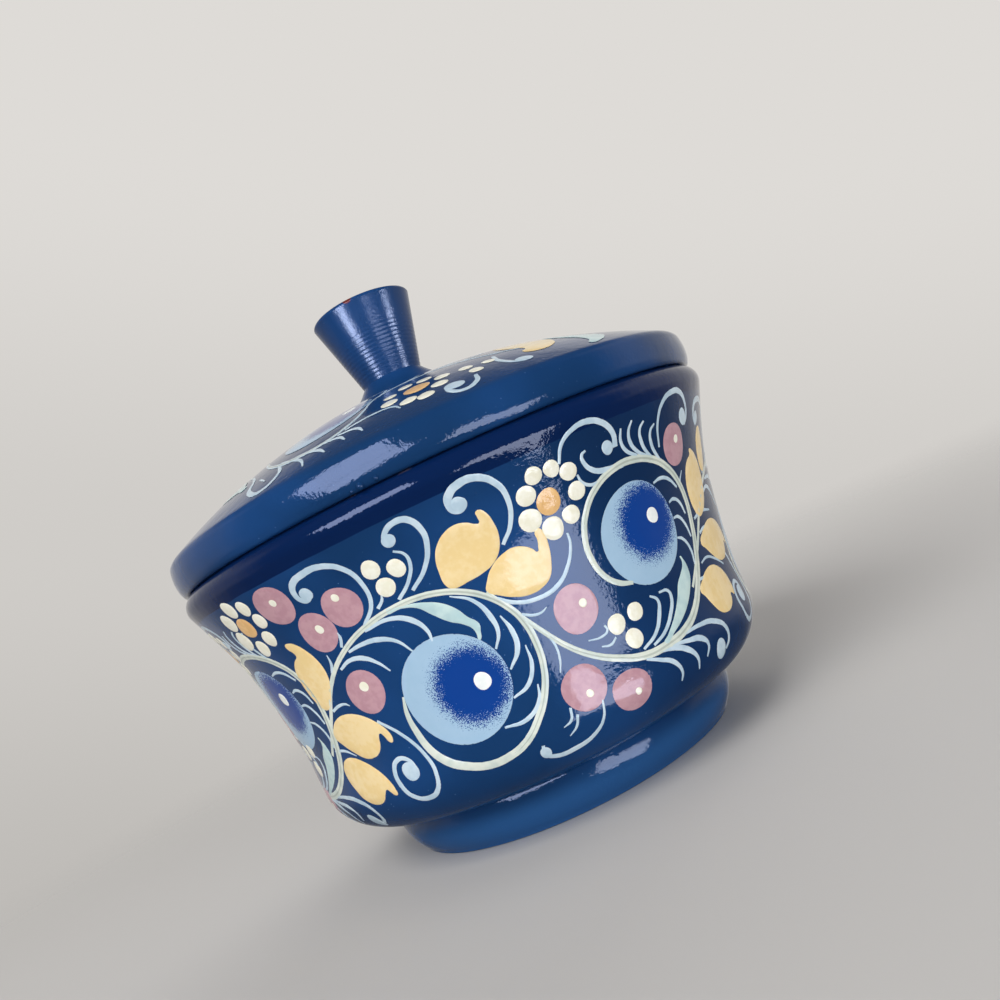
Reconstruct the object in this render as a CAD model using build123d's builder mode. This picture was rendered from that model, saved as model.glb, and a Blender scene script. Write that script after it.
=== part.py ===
# Painted trinket box: a bowl turned in one piece with its foot, a loose domed lid with a
# spigot that drops into the bowl's mouth, and a cone-shaped knob glued into the lid.
# Millimetres. Z is up, the origin is the centre of the foot's underside.
import os

from build123d import *

os.makedirs("parts", exist_ok=True)

# Foot
foot_rest_radius = 25.8
foot_bulge_radius = 27.7
foot_top_radius = 27.9
foot_edge_height = 0.5
foot_bulge_height = 2.9
foot_height = 6.4
quirk_radius = 27.5
quirk_height = 6.8

# Outside of the bowl
belly_corner_radius = 33.8
belly_corner_height = 8.8
belly_radius = 36.3
belly_height = 14.0
waist_radius = 36.6
waist_height = 21.0
flare_radius = 39.15
flare_height = 35.0
bead_foot_radius = 43.35
bead_foot_height = 45.9
bead_foot_slope = 0.42
rim_outer_radius = 42.0
rim_height = 48.9

# Inside of the bowl
mouth_radius = 38.9
mouth_edge = 0.4
mouth_depth = 5.4
inner_flare_radius = 36.0
inner_waist_radius = 33.3
inner_waist_height = 25.0
inner_belly_radius = 32.6
inner_belly_height = 18.0
floor_height = 9.8
floor_radius = 25.0
floor_bend_radius = 30.6
floor_bend_height = 12.2

# Lid
spigot_clearance = 0.4
spigot_radius = mouth_radius - spigot_clearance
spigot_depth = 3.0
spigot_wall = 3.0
spigot_edge = 0.5
lid_rest_radius = 42.4
lid_radius = 43.5
lid_foot_height = 49.9
lid_foot_bend = 1.2
lid_shoulder_height = 52.8
lid_shoulder_bend = 1.5
dome_edge_radius = 42.7
dome_edge_height = 54.0
dome_middle_radius = 26.0
dome_middle_height = 61.3
land_radius = 8.9
land_height = 64.9
ceiling_edge_radius = 34.8
ceiling_edge_height = 52.6
ceiling_middle_radius = 20.0
ceiling_middle_height = 58.8
ceiling_height = 60.8

# Knob
tenon_radius = 3.0
glue_gap = 0.05
tenon_end = 0.6
collar_radius = 8.6
collar_edge = 0.3
collar_middle_radius = 6.5
collar_middle_height = 66.8
neck_radius = 5.0
neck_height = 68.4
knob_radius = 8.3
knob_shoulder_height = 80.5
knob_top_radius = 7.8
knob_top_height = 81.0
knob_edge_bend = 0.6
knob_crown_height = 81.5


# Bowl: outside profile from the foot up over the rim bead, then down the mouth to the floor
with BuildPart() as bowl:
    with BuildSketch(Plane.XZ):
        with BuildLine():
            Line((0, 0), (foot_rest_radius, 0))
            Line((foot_rest_radius, 0), (foot_rest_radius + foot_edge_height, foot_edge_height))
            ThreePointArc(
                (foot_rest_radius + foot_edge_height, foot_edge_height),
                (foot_bulge_radius, foot_bulge_height),
                (foot_top_radius, foot_height),
            )
            Line((foot_top_radius, foot_height), (quirk_radius, quirk_height))
            ThreePointArc(
                (quirk_radius, quirk_height),
                (belly_corner_radius, belly_corner_height),
                (belly_radius, belly_height),
            )
            wall = Spline(
                (belly_radius, belly_height),
                (waist_radius, waist_height),
                (flare_radius, flare_height),
                (bead_foot_radius, bead_foot_height),
                tangents=((0, 1), (bead_foot_slope, 1)),
            )
            TangentArc(wall @ 1, (rim_outer_radius, rim_height), tangent=wall % 1)
            Line((rim_outer_radius, rim_height), (mouth_radius + mouth_edge, rim_height))
            Line(
                (mouth_radius + mouth_edge, rim_height),
                (mouth_radius, rim_height - mouth_edge),
            )
            Line((mouth_radius, rim_height - mouth_edge), (mouth_radius, rim_height - mouth_depth))
            Spline(
                (mouth_radius, rim_height - mouth_depth),
                (inner_flare_radius, flare_height),
                (inner_waist_radius, inner_waist_height),
                (inner_belly_radius, inner_belly_height),
                tangents=((-0.1, -1), (0, -1)),
            )
            ThreePointArc(
                (inner_belly_radius, inner_belly_height),
                (floor_bend_radius, floor_bend_height),
                (floor_radius, floor_height),
            )
            Line((floor_radius, floor_height), (0, floor_height))
            Line((0, floor_height), (0, 0))
        make_face()
    revolve(axis=Axis.Z)
bowl.part.label = "bowl"
export_step(bowl.part, "parts/bowl.step")


# Lid: band, dome and a flat land for the knob on top; spigot and hollow underneath
with BuildPart() as lid:
    with BuildSketch(Plane.XZ):
        with BuildLine():
            spigot_bottom = rim_height - spigot_depth
            spigot_inside = spigot_radius - spigot_wall
            Line((spigot_radius, rim_height), (lid_rest_radius, rim_height))
            RadiusArc((lid_rest_radius, rim_height), (lid_radius, lid_foot_height), -lid_foot_bend)
            Line((lid_radius, lid_foot_height), (lid_radius, lid_shoulder_height))
            RadiusArc(
                (lid_radius, lid_shoulder_height),
                (dome_edge_radius, dome_edge_height),
                -lid_shoulder_bend,
            )
            ThreePointArc(
                (dome_edge_radius, dome_edge_height),
                (dome_middle_radius, dome_middle_height),
                (land_radius, land_height),
            )
            Line((land_radius, land_height), (tenon_radius, land_height))
            Line((tenon_radius, land_height), (tenon_radius, ceiling_height))
            ThreePointArc(
                (tenon_radius, ceiling_height),
                (ceiling_middle_radius, ceiling_middle_height),
                (ceiling_edge_radius, ceiling_edge_height),
            )
            Line((ceiling_edge_radius, ceiling_edge_height), (spigot_inside, spigot_bottom))
            Line((spigot_inside, spigot_bottom), (spigot_radius - spigot_edge, spigot_bottom))
            Line(
                (spigot_radius - spigot_edge, spigot_bottom),
                (spigot_radius, spigot_bottom + spigot_edge),
            )
            Line((spigot_radius, spigot_bottom + spigot_edge), (spigot_radius, rim_height))
        make_face()
    revolve(axis=Axis.Z)
lid.part.label = "lid"
export_step(lid.part, "parts/lid.step")


# Knob: tenon, flared collar, narrow neck and a cone that opens upwards to a crowned top
with BuildPart() as knob:
    with BuildSketch(Plane.XZ):
        with BuildLine():
            tenon_side = tenon_radius - glue_gap
            tenon_bottom = ceiling_height + tenon_end
            Line((0, tenon_bottom), (tenon_side, tenon_bottom))
            Line((tenon_side, tenon_bottom), (tenon_side, land_height))
            Line((tenon_side, land_height), (collar_radius, land_height))
            Line((collar_radius, land_height), (collar_radius, land_height + collar_edge))
            ThreePointArc(
                (collar_radius, land_height + collar_edge),
                (collar_middle_radius, collar_middle_height),
                (neck_radius, neck_height),
            )
            Line((neck_radius, neck_height), (knob_radius, knob_shoulder_height))
            RadiusArc(
                (knob_radius, knob_shoulder_height),
                (knob_top_radius, knob_top_height),
                -knob_edge_bend,
            )
            Spline(
                (knob_top_radius, knob_top_height),
                (0, knob_crown_height),
                tangents=((-1, 0.15), (-1, 0)),
            )
            Line((0, knob_crown_height), (0, tenon_bottom))
        make_face()
    revolve(axis=Axis.Z)
knob.part.label = "knob"
export_step(knob.part, "parts/knob.step")
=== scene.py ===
import math
import random

import bpy
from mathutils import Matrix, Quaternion, Vector


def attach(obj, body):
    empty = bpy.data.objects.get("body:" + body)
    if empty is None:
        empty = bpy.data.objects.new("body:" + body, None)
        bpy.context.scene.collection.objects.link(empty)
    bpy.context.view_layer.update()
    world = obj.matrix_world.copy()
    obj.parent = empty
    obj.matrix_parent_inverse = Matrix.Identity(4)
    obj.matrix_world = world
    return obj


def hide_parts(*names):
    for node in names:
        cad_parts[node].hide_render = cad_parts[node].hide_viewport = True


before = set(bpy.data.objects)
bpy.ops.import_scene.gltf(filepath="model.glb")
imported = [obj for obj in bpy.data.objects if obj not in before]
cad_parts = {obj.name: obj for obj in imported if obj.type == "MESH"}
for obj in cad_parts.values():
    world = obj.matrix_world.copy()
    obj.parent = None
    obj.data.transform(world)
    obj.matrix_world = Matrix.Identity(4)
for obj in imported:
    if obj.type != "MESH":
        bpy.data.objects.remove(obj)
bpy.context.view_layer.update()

mm = 0.001
random.seed(7)
bpy.context.scene.view_settings.view_transform = "Standard"


# Node helpers

class Wire:  # a node's output, so that masks can be written as sums
    def __init__(self, kit, socket):
        self.kit = kit
        self.socket = socket

    def __add__(self, other):
        return self.kit.calc("ADD", self, other)

    def __radd__(self, other):
        return self.kit.calc("ADD", other, self)

    def __sub__(self, other):
        return self.kit.calc("SUBTRACT", self, other)

    def __rsub__(self, other):
        return self.kit.calc("SUBTRACT", other, self)

    def __mul__(self, other):
        return self.kit.calc("MULTIPLY", self, other)

    def __rmul__(self, other):
        return self.kit.calc("MULTIPLY", other, self)

    def __pow__(self, other):
        return self.kit.calc("POWER", self, other)


class NodeKit:
    def __init__(self, tree):
        self.tree = tree

    def node(self, kind, settings=None, sockets=None, output=0):
        made = self.tree.nodes.new(kind)
        for name, value in (settings or {}).items():
            setattr(made, name, value)
        for key, value in (sockets or {}).items():
            if isinstance(value, Wire):
                self.tree.links.new(value.socket, made.inputs[key])
            else:
                made.inputs[key].default_value = value
        return None if output is None else Wire(self, made.outputs[output])

    def calc(self, operation, *values):
        return self.node("ShaderNodeMath", {"operation": operation}, dict(enumerate(values)))

    def place(self):
        return self.node("ShaderNodeTexCoord", output="Object")

    def noise(self, scale, detail=3, rough=0.5):
        sockets = {"Vector": self.place(), "Scale": scale, "Detail": detail, "Roughness": rough}
        return self.node("ShaderNodeTexNoise", {}, sockets)

    def dots(self, scale, rim, start=1):  # small spots, each fading from start to nothing over its rim
        cells = self.node("ShaderNodeTexVoronoi", {}, {"Vector": self.place(), "Scale": scale})
        return self.ease(cells, *rim, start, 0)

    def ease(self, value, low, high, start=0, end=1):  # soft step from start to end
        sockets = {0: value, 1: low, 2: high, 3: start, 4: end}
        return self.node("ShaderNodeMapRange", {"interpolation_type": "SMOOTHSTEP"}, sockets)

    def blendColours(self, mask, first, second):
        colours = {0: mask, 6: first, 7: second}
        return self.node("ShaderNodeMix", {"data_type": "RGBA"}, colours, output=2)

    def axis(self, name, vector=None):
        return self.node("ShaderNodeSeparateXYZ", {}, {0: vector or self.place()}, output=name)

    def bump(self, height):  # height in metres
        return self.node("ShaderNodeBump", {}, {"Height": height, "Distance": 1, "Strength": 1})


def colour(code):  # sRGB hex to the linear colour that nodes use
    values = [int(code[i:i + 2], 16) / 255 for i in (0, 2, 4)]
    return (*[v / 12.92 if v <= 0.04045 else ((v + 0.055) / 1.055) ** 2.4 for v in values], 1)


def finish(name, build, specular, ior=1.45):
    material = bpy.data.materials.new(name)
    material.use_nodes = True
    material.node_tree.nodes.clear()
    kit = NodeKit(material.node_tree)
    sockets = build(kit)
    sockets.update({"Specular IOR Level": specular, "IOR": ior})
    surface = kit.node("ShaderNodeBsdfPrincipled", {}, sockets)
    kit.node("ShaderNodeOutputMaterial", {}, {"Surface": surface}, output=None)
    return material


# Lacquer and paints

lacquer = {
    "blue": colour("1B447A"),
    "deepBlue": colour("143762"),
    "driftScale": 45,         # how fast the two blues take turns
    "driftSpan": (0.35, 0.7),
    # painted shade darkening one side of the bowl: its colour, where it starts and how much
    "shadedSideBlue": colour("0C2345"),
    "shadedSideFrom": (0.004, 0.022),  # painted shade: the bowl's blue is darkened towards this side, where less light falls
    "shadedSideShare": 0.65,
    "rimNavy": colour("061F4A"),
    "rimFrom": 0.0447,        # the bead under the lid is painted darker from here up
    "rimSoft": 0.00012,
    "wornWood": colour("7A6A5E"),
    "waverScale": 160,        # the painted edges waver this finely
    "waver": 0.0003,
    "wornFrom": (0.0487, 0.0489),
    "wornScale": 300,
    "wornSpan": (0.6, 0.68),
    "wornShare": 0.3,
    "litFootBlue": colour("2A588F"),
    "litFootSpan": (0.00279, 0.0062),  # painted light: the foot is coloured a shade lighter up to here, standing in for the light it catches
    "chipRed": colour("6B2A22"),
    "dust": colour("5C80B4"),
    "dustScale": 900,
    "dustRim": (0.05, 0.09),
    "dustShare": 0.5,
    "dustPatchScale": 170,    # the dust lies in patches
    "dustPatchSpan": (0.5, 0.6),
    "speckScale": 420,
    "speckRim": (0.04, 0.1),
    "speckHeight": 0.00001,
    "rippleScale": 260,
    "rippleDepth": 0.00007,
    "grainScale": 2200,
    "grainDepth": 0.00002,
    "roughness": 0.03,
    "roughnessSpan": 0.03,
    "knobRoughness": 0.2,
    "specular": 0.24,
}


def ripple(kit):  # the slow waves of a brushed lacquer
    return kit.noise(lacquer["rippleScale"], 4, 0.6) * lacquer["rippleDepth"]


def lacquerSkin(kit, tones=None, chip=None, roughness=lacquer["roughness"]):
    drift = kit.ease(kit.noise(lacquer["driftScale"]), *lacquer["driftSpan"])
    fine = kit.noise(lacquer["grainScale"], 2)
    specks = kit.dots(lacquer["speckScale"], lacquer["speckRim"])
    dust = kit.dots(lacquer["dustScale"], lacquer["dustRim"], lacquer["dustShare"])
    dust = dust * kit.ease(kit.noise(lacquer["dustPatchScale"], 2), *lacquer["dustPatchSpan"])
    shade = kit.blendColours(drift, lacquer["deepBlue"], lacquer["blue"])
    shade = kit.blendColours(dust, shade, lacquer["dust"])
    if tones:
        shade = tones(kit, shade)
    if chip:
        shade = kit.blendColours(chip(kit), shade, lacquer["chipRed"])
    height = ripple(kit) + fine * lacquer["grainDepth"] + specks * lacquer["speckHeight"]
    return {
        "Base Color": shade,
        "Roughness": roughness + fine * lacquer["roughnessSpan"],
        "Normal": kit.bump(height),
    }


def bowlTones(kit, shade):  # painted shade on one side, a navy bead with a rubbed corner, and painted light on the foot
    height = kit.axis("Z") + kit.noise(lacquer["waverScale"], 2) * lacquer["waver"]
    # painted shade: the bowl darkens towards one side
    shadedSide = kit.ease(kit.axis("X"), *lacquer["shadedSideFrom"])
    bead = kit.ease(height, lacquer["rimFrom"], lacquer["rimFrom"] + lacquer["rimSoft"])
    rubbed = kit.ease(kit.noise(lacquer["wornScale"], 4), *lacquer["wornSpan"])
    rubbed = kit.ease(height, *lacquer["wornFrom"]) * rubbed
    # painted light: the foot is lightened in colour
    foot = kit.ease(kit.axis("Z"), *lacquer["litFootSpan"], 1, 0)
    shade = kit.blendColours(shadedSide * lacquer["shadedSideShare"], shade, lacquer["shadedSideBlue"])
    shade = kit.blendColours(bead, shade, lacquer["rimNavy"])
    shade = kit.blendColours(rubbed * lacquer["wornShare"], shade, lacquer["wornWood"])
    return kit.blendColours(foot, shade, lacquer["litFootBlue"])


brush = {
    "streakHeight": 0.00001,
    "streakShare": 0.4,
    "mixSpan": (0.4, 0.6),
    "roughness": 0.06,
    "roughnessSpan": 0.05,
}


def paint(light, dark, drift, streak):
    def build(kit):
        mask = kit.noise(drift) * (1 - brush["streakShare"]) + kit.noise(streak, 2) * brush["streakShare"]
        mask = kit.ease(mask, *brush["mixSpan"])
        return {
            "Base Color": kit.blendColours(mask, colour(dark), colour(light)),
            "Roughness": brush["roughness"] + kit.noise(streak, 2) * brush["roughnessSpan"],
            "Normal": kit.bump(ripple(kit) + kit.noise(streak, 2) * brush["streakHeight"]),
        }
    return build


berryPaint = {
    "pale": colour("A8C5DC"),
    "paleShade": colour("9CBCD6"),
    "heart": colour("123F8E"),
    "heartRadius": 4.8,
    "heartSoft": 0.3,
    "dabScale": 7500,
    "dabFuzz": 5.75,   # how far the single dabs stray from the heart's edge, in millimetres
    "patchScale": 700,
    "patchFuzz": 1.15,
    "roughnessSpan": 0.06,
    "span": 20,        # millimetres of plan that one unit of the UV map covers
}


def stippledBerry(kit):
    uv = kit.node("ShaderNodeUVMap", {"uv_map": "plan"}, {})
    across = (kit.axis("X", uv) - 0.5) * berryPaint["span"]
    up = (kit.axis("Y", uv) - 0.5) * berryPaint["span"]
    dabs = kit.noise(berryPaint["dabScale"], 1, 0.7)
    patches = kit.noise(berryPaint["patchScale"])
    edge = (across * across + up * up) ** 0.5
    edge = edge + (dabs - 0.5) * berryPaint["dabFuzz"] + (patches - 0.5) * berryPaint["patchFuzz"]
    radius, soft = berryPaint["heartRadius"], berryPaint["heartSoft"]
    heart = kit.ease(edge, radius - soft, radius + soft, 1, 0)
    light = kit.blendColours(patches, berryPaint["pale"], berryPaint["paleShade"])
    return {
        "Base Color": kit.blendColours(heart, light, berryPaint["heart"]),
        "Roughness": lacquer["roughness"] + dabs * berryPaint["roughnessSpan"],
        "Normal": kit.bump(ripple(kit)),
    }


wood = {
    "light": colour("C79A62"),
    "dark": colour("9A6B3C"),
    "heartAside": 0.02,  # the tree's heart lies this far beside the turning's axis
    "rings": 2200,       # radians of ring pattern in a metre
    "bendScale": 70,
    "bend": 0.004,
    "poreScale": 900,
    "poreDepth": 0.00002,
    "poreShare": 0.45,   # how much of the colour the pores give, beside the rings
    "toolMarks": 9000,
    "toolDepth": 0.00001,
    "roughness": 0.42,
    "roughnessSpan": 0.15,
    "specular": 0.4,
}


def turnedWood(kit):  # growth rings of a blank cut along the grain, and fine marks of the tool
    x, y, z = [kit.axis(name) for name in "XYZ"]
    beside = y + wood["heartAside"]
    radius = (x * x + beside * beside) ** 0.5 + kit.noise(wood["bendScale"], 4) * wood["bend"]
    ring = kit.calc("SINE", radius * wood["rings"]) * 0.5 + 0.5
    pores = kit.noise(wood["poreScale"], 3, 0.6)
    tool = kit.calc("SINE", ((x * x + y * y) ** 0.5 + z) * wood["toolMarks"]) * 0.5 + 0.5
    figure = ring * (1 - wood["poreShare"]) + pores * wood["poreShare"]
    return {
        "Base Color": kit.blendColours(figure, wood["light"], wood["dark"]),
        "Roughness": wood["roughness"] + pores * wood["roughnessSpan"],
        "Normal": kit.bump(tool * wood["toolDepth"] + pores * wood["poreDepth"]),
    }


paints = {  # material, light and dark colour, and how finely they drift and streak
    "paleBlue": ("pale_blue_paint", "CBDDE8", "B6CDDC", 220, 900),
    "ringWhite": ("green_white_paint", "DDE3D8", "CAD5CD", 220, 900),
    "greyGreen": ("grey_green_paint", "C0C8BD", "AEB8AE", 220, 900),
    "paleGreen": ("pale_green_paint", "C9DFDD", "B3CFD2", 220, 900),
    "rose": ("rose_paint", "C39AA3", "B98E99", 500, 1500),
    "yellow": ("yellow_paint", "F5DCA8", "F0D396", 260, 1200),
    "orange": ("orange_paint", "EFC48A", "E6B87C", 500, 1500),
    "cream": ("cream_paint", "F7F5E6", "F0EDD8", 600, 1800),
    "white": ("white_paint", "F6F9F6", "EEF3F1", 600, 1800),
}

finishes = {
    "body": finish("blue_lacquer_bowl", lambda kit: lacquerSkin(kit, tones=bowlTones), lacquer["specular"]),
    "plain": finish("blue_lacquer", lacquerSkin, lacquer["specular"]),
    "wood": finish("bare_wood", turnedWood, wood["specular"]),
    "berry": finish("berry_blue_paint", stippledBerry, lacquer["specular"]),
}
for name, (material, *recipe) in paints.items():
    finishes[name] = finish(material, paint(*recipe), lacquer["specular"])
print("finishes made", len(finishes))


# Outlines, as radius and height in millimetres

def arcRun(start, middle, end, count):  # a round stretch over three points
    (ax, ay), (bx, by), (cx, cy) = start, middle, end
    d = 2 * (ax * (by - cy) + bx * (cy - ay) + cx * (ay - by))
    a, b, c = ax * ax + ay * ay, bx * bx + by * by, cx * cx + cy * cy
    ox = (a * (by - cy) + b * (cy - ay) + c * (ay - by)) / d
    oy = (a * (cx - bx) + b * (ax - cx) + c * (bx - ax)) / d
    radius = math.hypot(ax - ox, ay - oy)
    first, mid, last = [math.atan2(y - oy, x - ox) for x, y in (start, middle, end)]
    turn = math.tau if d > 0 else -math.tau
    mid = first + (mid - first) % turn
    last = first + (last - first) % turn
    steps = [first + (last - first) * i / count for i in range(count + 1)]
    return [(ox + radius * math.cos(s), oy + radius * math.sin(s)) for s in steps]


def easyRun(points, firstSlope, lastSlope, count):  # a smooth stretch, slopes given as directions
    knots = [0]
    for (x0, y0), (x1, y1) in zip(points, points[1:]):
        knots.append(knots[-1] + math.hypot(x1 - x0, y1 - y0))
    slopes = []
    for i in range(len(points)):
        if i == 0 or i == len(points) - 1:
            direction = firstSlope if i == 0 else lastSlope
            length = math.hypot(*direction)
            slopes.append((direction[0] / length, direction[1] / length))
        else:
            gap = knots[i + 1] - knots[i - 1]
            slopes.append(tuple((points[i + 1][k] - points[i - 1][k]) / gap for k in (0, 1)))
    run = []
    for i in range(len(points) - 1):
        h = knots[i + 1] - knots[i]
        steps = max(2, round(count * h / knots[-1]))
        for j in range(steps + (i == len(points) - 2)):
            t = j / steps
            a, b = 2 * t ** 3 - 3 * t ** 2 + 1, t ** 3 - 2 * t ** 2 + t
            c, d = 3 * t ** 2 - 2 * t ** 3, t ** 3 - t ** 2
            run.append(tuple(a * points[i][k] + b * h * slopes[i][k] + c * points[i + 1][k]
                             + d * h * slopes[i + 1][k] for k in (0, 1)))
    return run


def chain(*runs):  # joins stretches and leaves out points that repeat
    line = []
    for run in runs:
        for point in run:
            if not line or math.dist(point, line[-1]) > 0.001:
                line.append(point)
    return line


def lathe(name, outline, steps):
    bpy.ops.object.select_all(action="DESELECT")
    bpy.ops.mesh.primitive_plane_add(size=mm)
    piece = bpy.context.object
    piece.name = name
    bpy.ops.object.mode_set(mode="EDIT")
    bpy.ops.mesh.merge(type="CENTER")
    bpy.ops.transform.translate(value=(outline[0][0] * mm, 0, outline[0][1] * mm))
    for (x0, z0), (x1, z1) in zip(outline, outline[1:]):
        step = ((x1 - x0) * mm, 0, (z1 - z0) * mm)
        bpy.ops.mesh.extrude_vertices_move(TRANSFORM_OT_translate={"value": step})
    bpy.ops.mesh.select_all(action="SELECT")
    bpy.ops.mesh.spin(steps=steps, angle=math.tau, center=(0, 0, 0), axis=(0, 0, 1))
    bpy.ops.mesh.select_all(action="SELECT")
    bpy.ops.mesh.remove_doubles(threshold=0.002 * mm)
    bpy.ops.mesh.normals_make_consistent(inside=False)
    bpy.ops.object.mode_set(mode="OBJECT")
    bpy.ops.object.shade_smooth_by_angle(angle=math.radians(32))
    return piece


def joinPieces(made, name):
    bpy.ops.object.select_all(action="DESELECT")
    for piece in made:
        piece.select_set(True)
    bpy.context.view_layer.objects.active = made[0]
    bpy.ops.object.join()
    bpy.context.object.name = name
    return bpy.context.object


def paintFaces(piece, materials, choose):  # choose gives each face its material's number
    for material in materials:
        piece.data.materials.append(material)
    for face in piece.data.polygons:
        face.material_index = choose(face.center)


# Bowl

bowl = {
    "steps": 224,
    "foot": 25.8,           # radius of the flat that the box stands on
    "footTop": (27.9, 6.4),
    "groove": (27.5, 6.8),  # the wall starts here, over the foot
    "wall": [(36.3, 14), (36.6, 21), (39.15, 35), (43.35, 45.9)],
    "rim": 48.9,
    "rimEdge": 42.0,
    "mouth": 38.9,
    "inside": [(38.9, 43.5), (36.0, 35), (33.3, 25), (32.6, 18)],
    "floor": 9.8,
    "floorEdge": 25.0,
}

footRun = chain(
    [(0, 0), (8, 0), (17, 0), (bowl["foot"], 0), (26.15, 0.15), (26.3, 0.5)],
    arcRun((26.3, 0.5), (27.7, 2.9), bowl["footTop"], 14),
    [bowl["footTop"], (27.75, 6.62), bowl["groove"]],
)
wallRun = chain(
    arcRun(bowl["groove"], (33.8, 8.8), bowl["wall"][0], 26),
    easyRun(bowl["wall"], (0, 1), (0.42, 1), 52),
    arcRun(bowl["wall"][-1], (43.33, 47.69), (bowl["rimEdge"], bowl["rim"]), 14),
)
bowlOutline = chain(
    footRun,
    wallRun,
    [(r, bowl["rim"]) for r in (bowl["rimEdge"], 40.6, 39.3)],
    arcRun((39.3, bowl["rim"]), (39.02, 48.78), (bowl["mouth"], 48.5), 4),
    [(bowl["mouth"], 48.5), (bowl["mouth"], 46), bowl["inside"][0]],
    easyRun(bowl["inside"], (-0.1, -1), (0, -1), 30),
    arcRun(bowl["inside"][-1], (30.6, 12.2), (bowl["floorEdge"], bowl["floor"]), 16),
    [(r, bowl["floor"]) for r in (bowl["floorEdge"], 16, 8, 0)],
)
bowlPiece = lathe("bowl_turned", bowlOutline, bowl["steps"])


def wallRadius(height):  # of the bowl's outside, in millimetres
    for (r0, z0), (r1, z1) in zip(wallRun, wallRun[1:]):
        if z0 <= height <= z1:
            return r0 + (r1 - r0) * (height - z0) / (z1 - z0)
    return 0


def bowlSide(centre):  # 1 inside the mouth, 0 outside
    r = math.hypot(centre.x, centre.y) / mm
    z = centre.z / mm
    between = bowl["floor"] - 0.1 < z < bowl["rim"] - 0.01
    return int(between and r < bowl["mouth"] + 0.3 and r < wallRadius(z) - 0.6)


paintFaces(bowlPiece, [finishes["body"], finishes["wood"]], bowlSide)
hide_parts("bowl")
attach(bowlPiece, "bowl")
print("bowl turned")


# Lid

lid = {
    "steps": 224,
    "spigot": 38.5,          # the step underneath that sits in the bowl's mouth
    "spigotEnd": 45.9,
    "seat": 48.9,
    "band": [(42.98, 49.2), (43.29, 49.95), (43.46, 50.9), (43.5, 51.6)],
    "bandTop": (43.41, 52.8),
    "domeEdge": (42.7, 54.0),
    "domeTop": (8.9, 64.9),  # the flat that the knob stands on starts here
    "domeRadius": 86.6,
    "domeCentre": -21.28,
    "hole": 3.0,
    "ceiling": 60.8,
    "ceilingEdge": (34.8, 52.6),
    "hollow": 35.5,
}

landHeight = lid["domeTop"][1]
lidOutline = chain(
    [(lid["spigot"], lid["seat"]), (42.4, lid["seat"])],
    arcRun((42.4, lid["seat"]), (42.73, 48.98), lid["band"][0], 6),
    easyRun(lid["band"], (0.45, 1), (0, 1), 12),
    arcRun(lid["band"][-1], (43.475, 52.2), lid["bandTop"], 4),
    arcRun(lid["bandTop"], (43.2, 53.5), lid["domeEdge"], 6),
    arcRun(lid["domeEdge"], (26.0, 61.3), lid["domeTop"], 60),
    [lid["domeTop"], (6, landHeight), (lid["hole"], landHeight), (lid["hole"], lid["ceiling"])],
    arcRun((4.5, lid["ceiling"]), (20, 58.8), lid["ceilingEdge"], 30),
    [(lid["hollow"], 50), (lid["hollow"], lid["spigotEnd"]), (38.0, lid["spigotEnd"])],
    [(38.35, 46.05), (lid["spigot"], 46.4), (lid["spigot"], lid["seat"])],
)
lidPiece = lathe("lid_turned", lidOutline, lid["steps"])


def domeHeight(r):
    return lid["domeCentre"] + math.sqrt(lid["domeRadius"] ** 2 - r * r)


def lidSide(centre):  # 1 underneath and in the hole, 0 outside
    r = math.hypot(centre.x, centre.y) / mm
    z = centre.z / mm
    return int(z < domeHeight(r) - 1.5 and r < lid["spigot"] + 0.1 and z < landHeight - 0.4)


paintFaces(lidPiece, [finishes["plain"], finishes["wood"]], lidSide)
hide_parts("lid")
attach(lidPiece, "lid")

drips = {  # beads of lacquer that dried on the lower edge: angle, height and size
    "places": [(-11.6, 49.35, 0.5), (-8.8, 49.4, 0.36), (-13.2, 49.2, 0.22)],
    "radius": 43.0,
}

beads = []
for angle, height, size in drips["places"]:
    turn = math.radians(angle)
    x, y = drips["radius"] * math.sin(turn), -drips["radius"] * math.cos(turn)
    bpy.ops.mesh.primitive_uv_sphere_add(segments=24, ring_count=14, radius=size * mm)
    bpy.ops.object.mode_set(mode="EDIT")
    bpy.ops.transform.translate(value=Vector((x, y, height)) * mm)
    bpy.ops.object.mode_set(mode="OBJECT")
    bpy.ops.object.shade_smooth()
    beads.append(bpy.context.object)
dripPiece = joinPieces(beads, "lid_drips")
dripPiece.data.materials.append(finishes["plain"])
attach(dripPiece, "lid")
print("lid turned")


# Knob

knob = {
    "steps": 128,
    "tenon": 2.95,
    "base": 8.6,
    "neck": (5.0, 68.4),
    "brim": (8.3, 80.5),
    "top": 81.5,
    "coneSteps": 140,
    "ringPitch": 0.62,
    "ringDepth": 0.013,
    "ringTop": 77,
    "ringFade": (3, 0.6),  # how softly the rings end at the top and start at the neck
    "chipPlace": (-0.0013, -0.0081, 0.0810),
    "chipSize": 0.001,
    "chipSoft": 0.0002,
    "chipScale": 900,
    "chipRagged": 0.0006,
}


def knobCone():  # the tool left fine rings on the lower two thirds of the cone
    (r0, z0), (r1, z1) = knob["neck"], knob["brim"]
    line = []
    for i in range(knob["coneSteps"] + 1):
        z = z0 + (z1 - z0) * i / knob["coneSteps"]
        r = r0 + (r1 - r0) * i / knob["coneSteps"]
        fade = max(0, min(1, (knob["ringTop"] - z) / knob["ringFade"][0], (z - z0) / knob["ringFade"][1]))
        line.append((r + knob["ringDepth"] * fade * math.sin(math.tau * z / knob["ringPitch"]), z))
    return line


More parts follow.
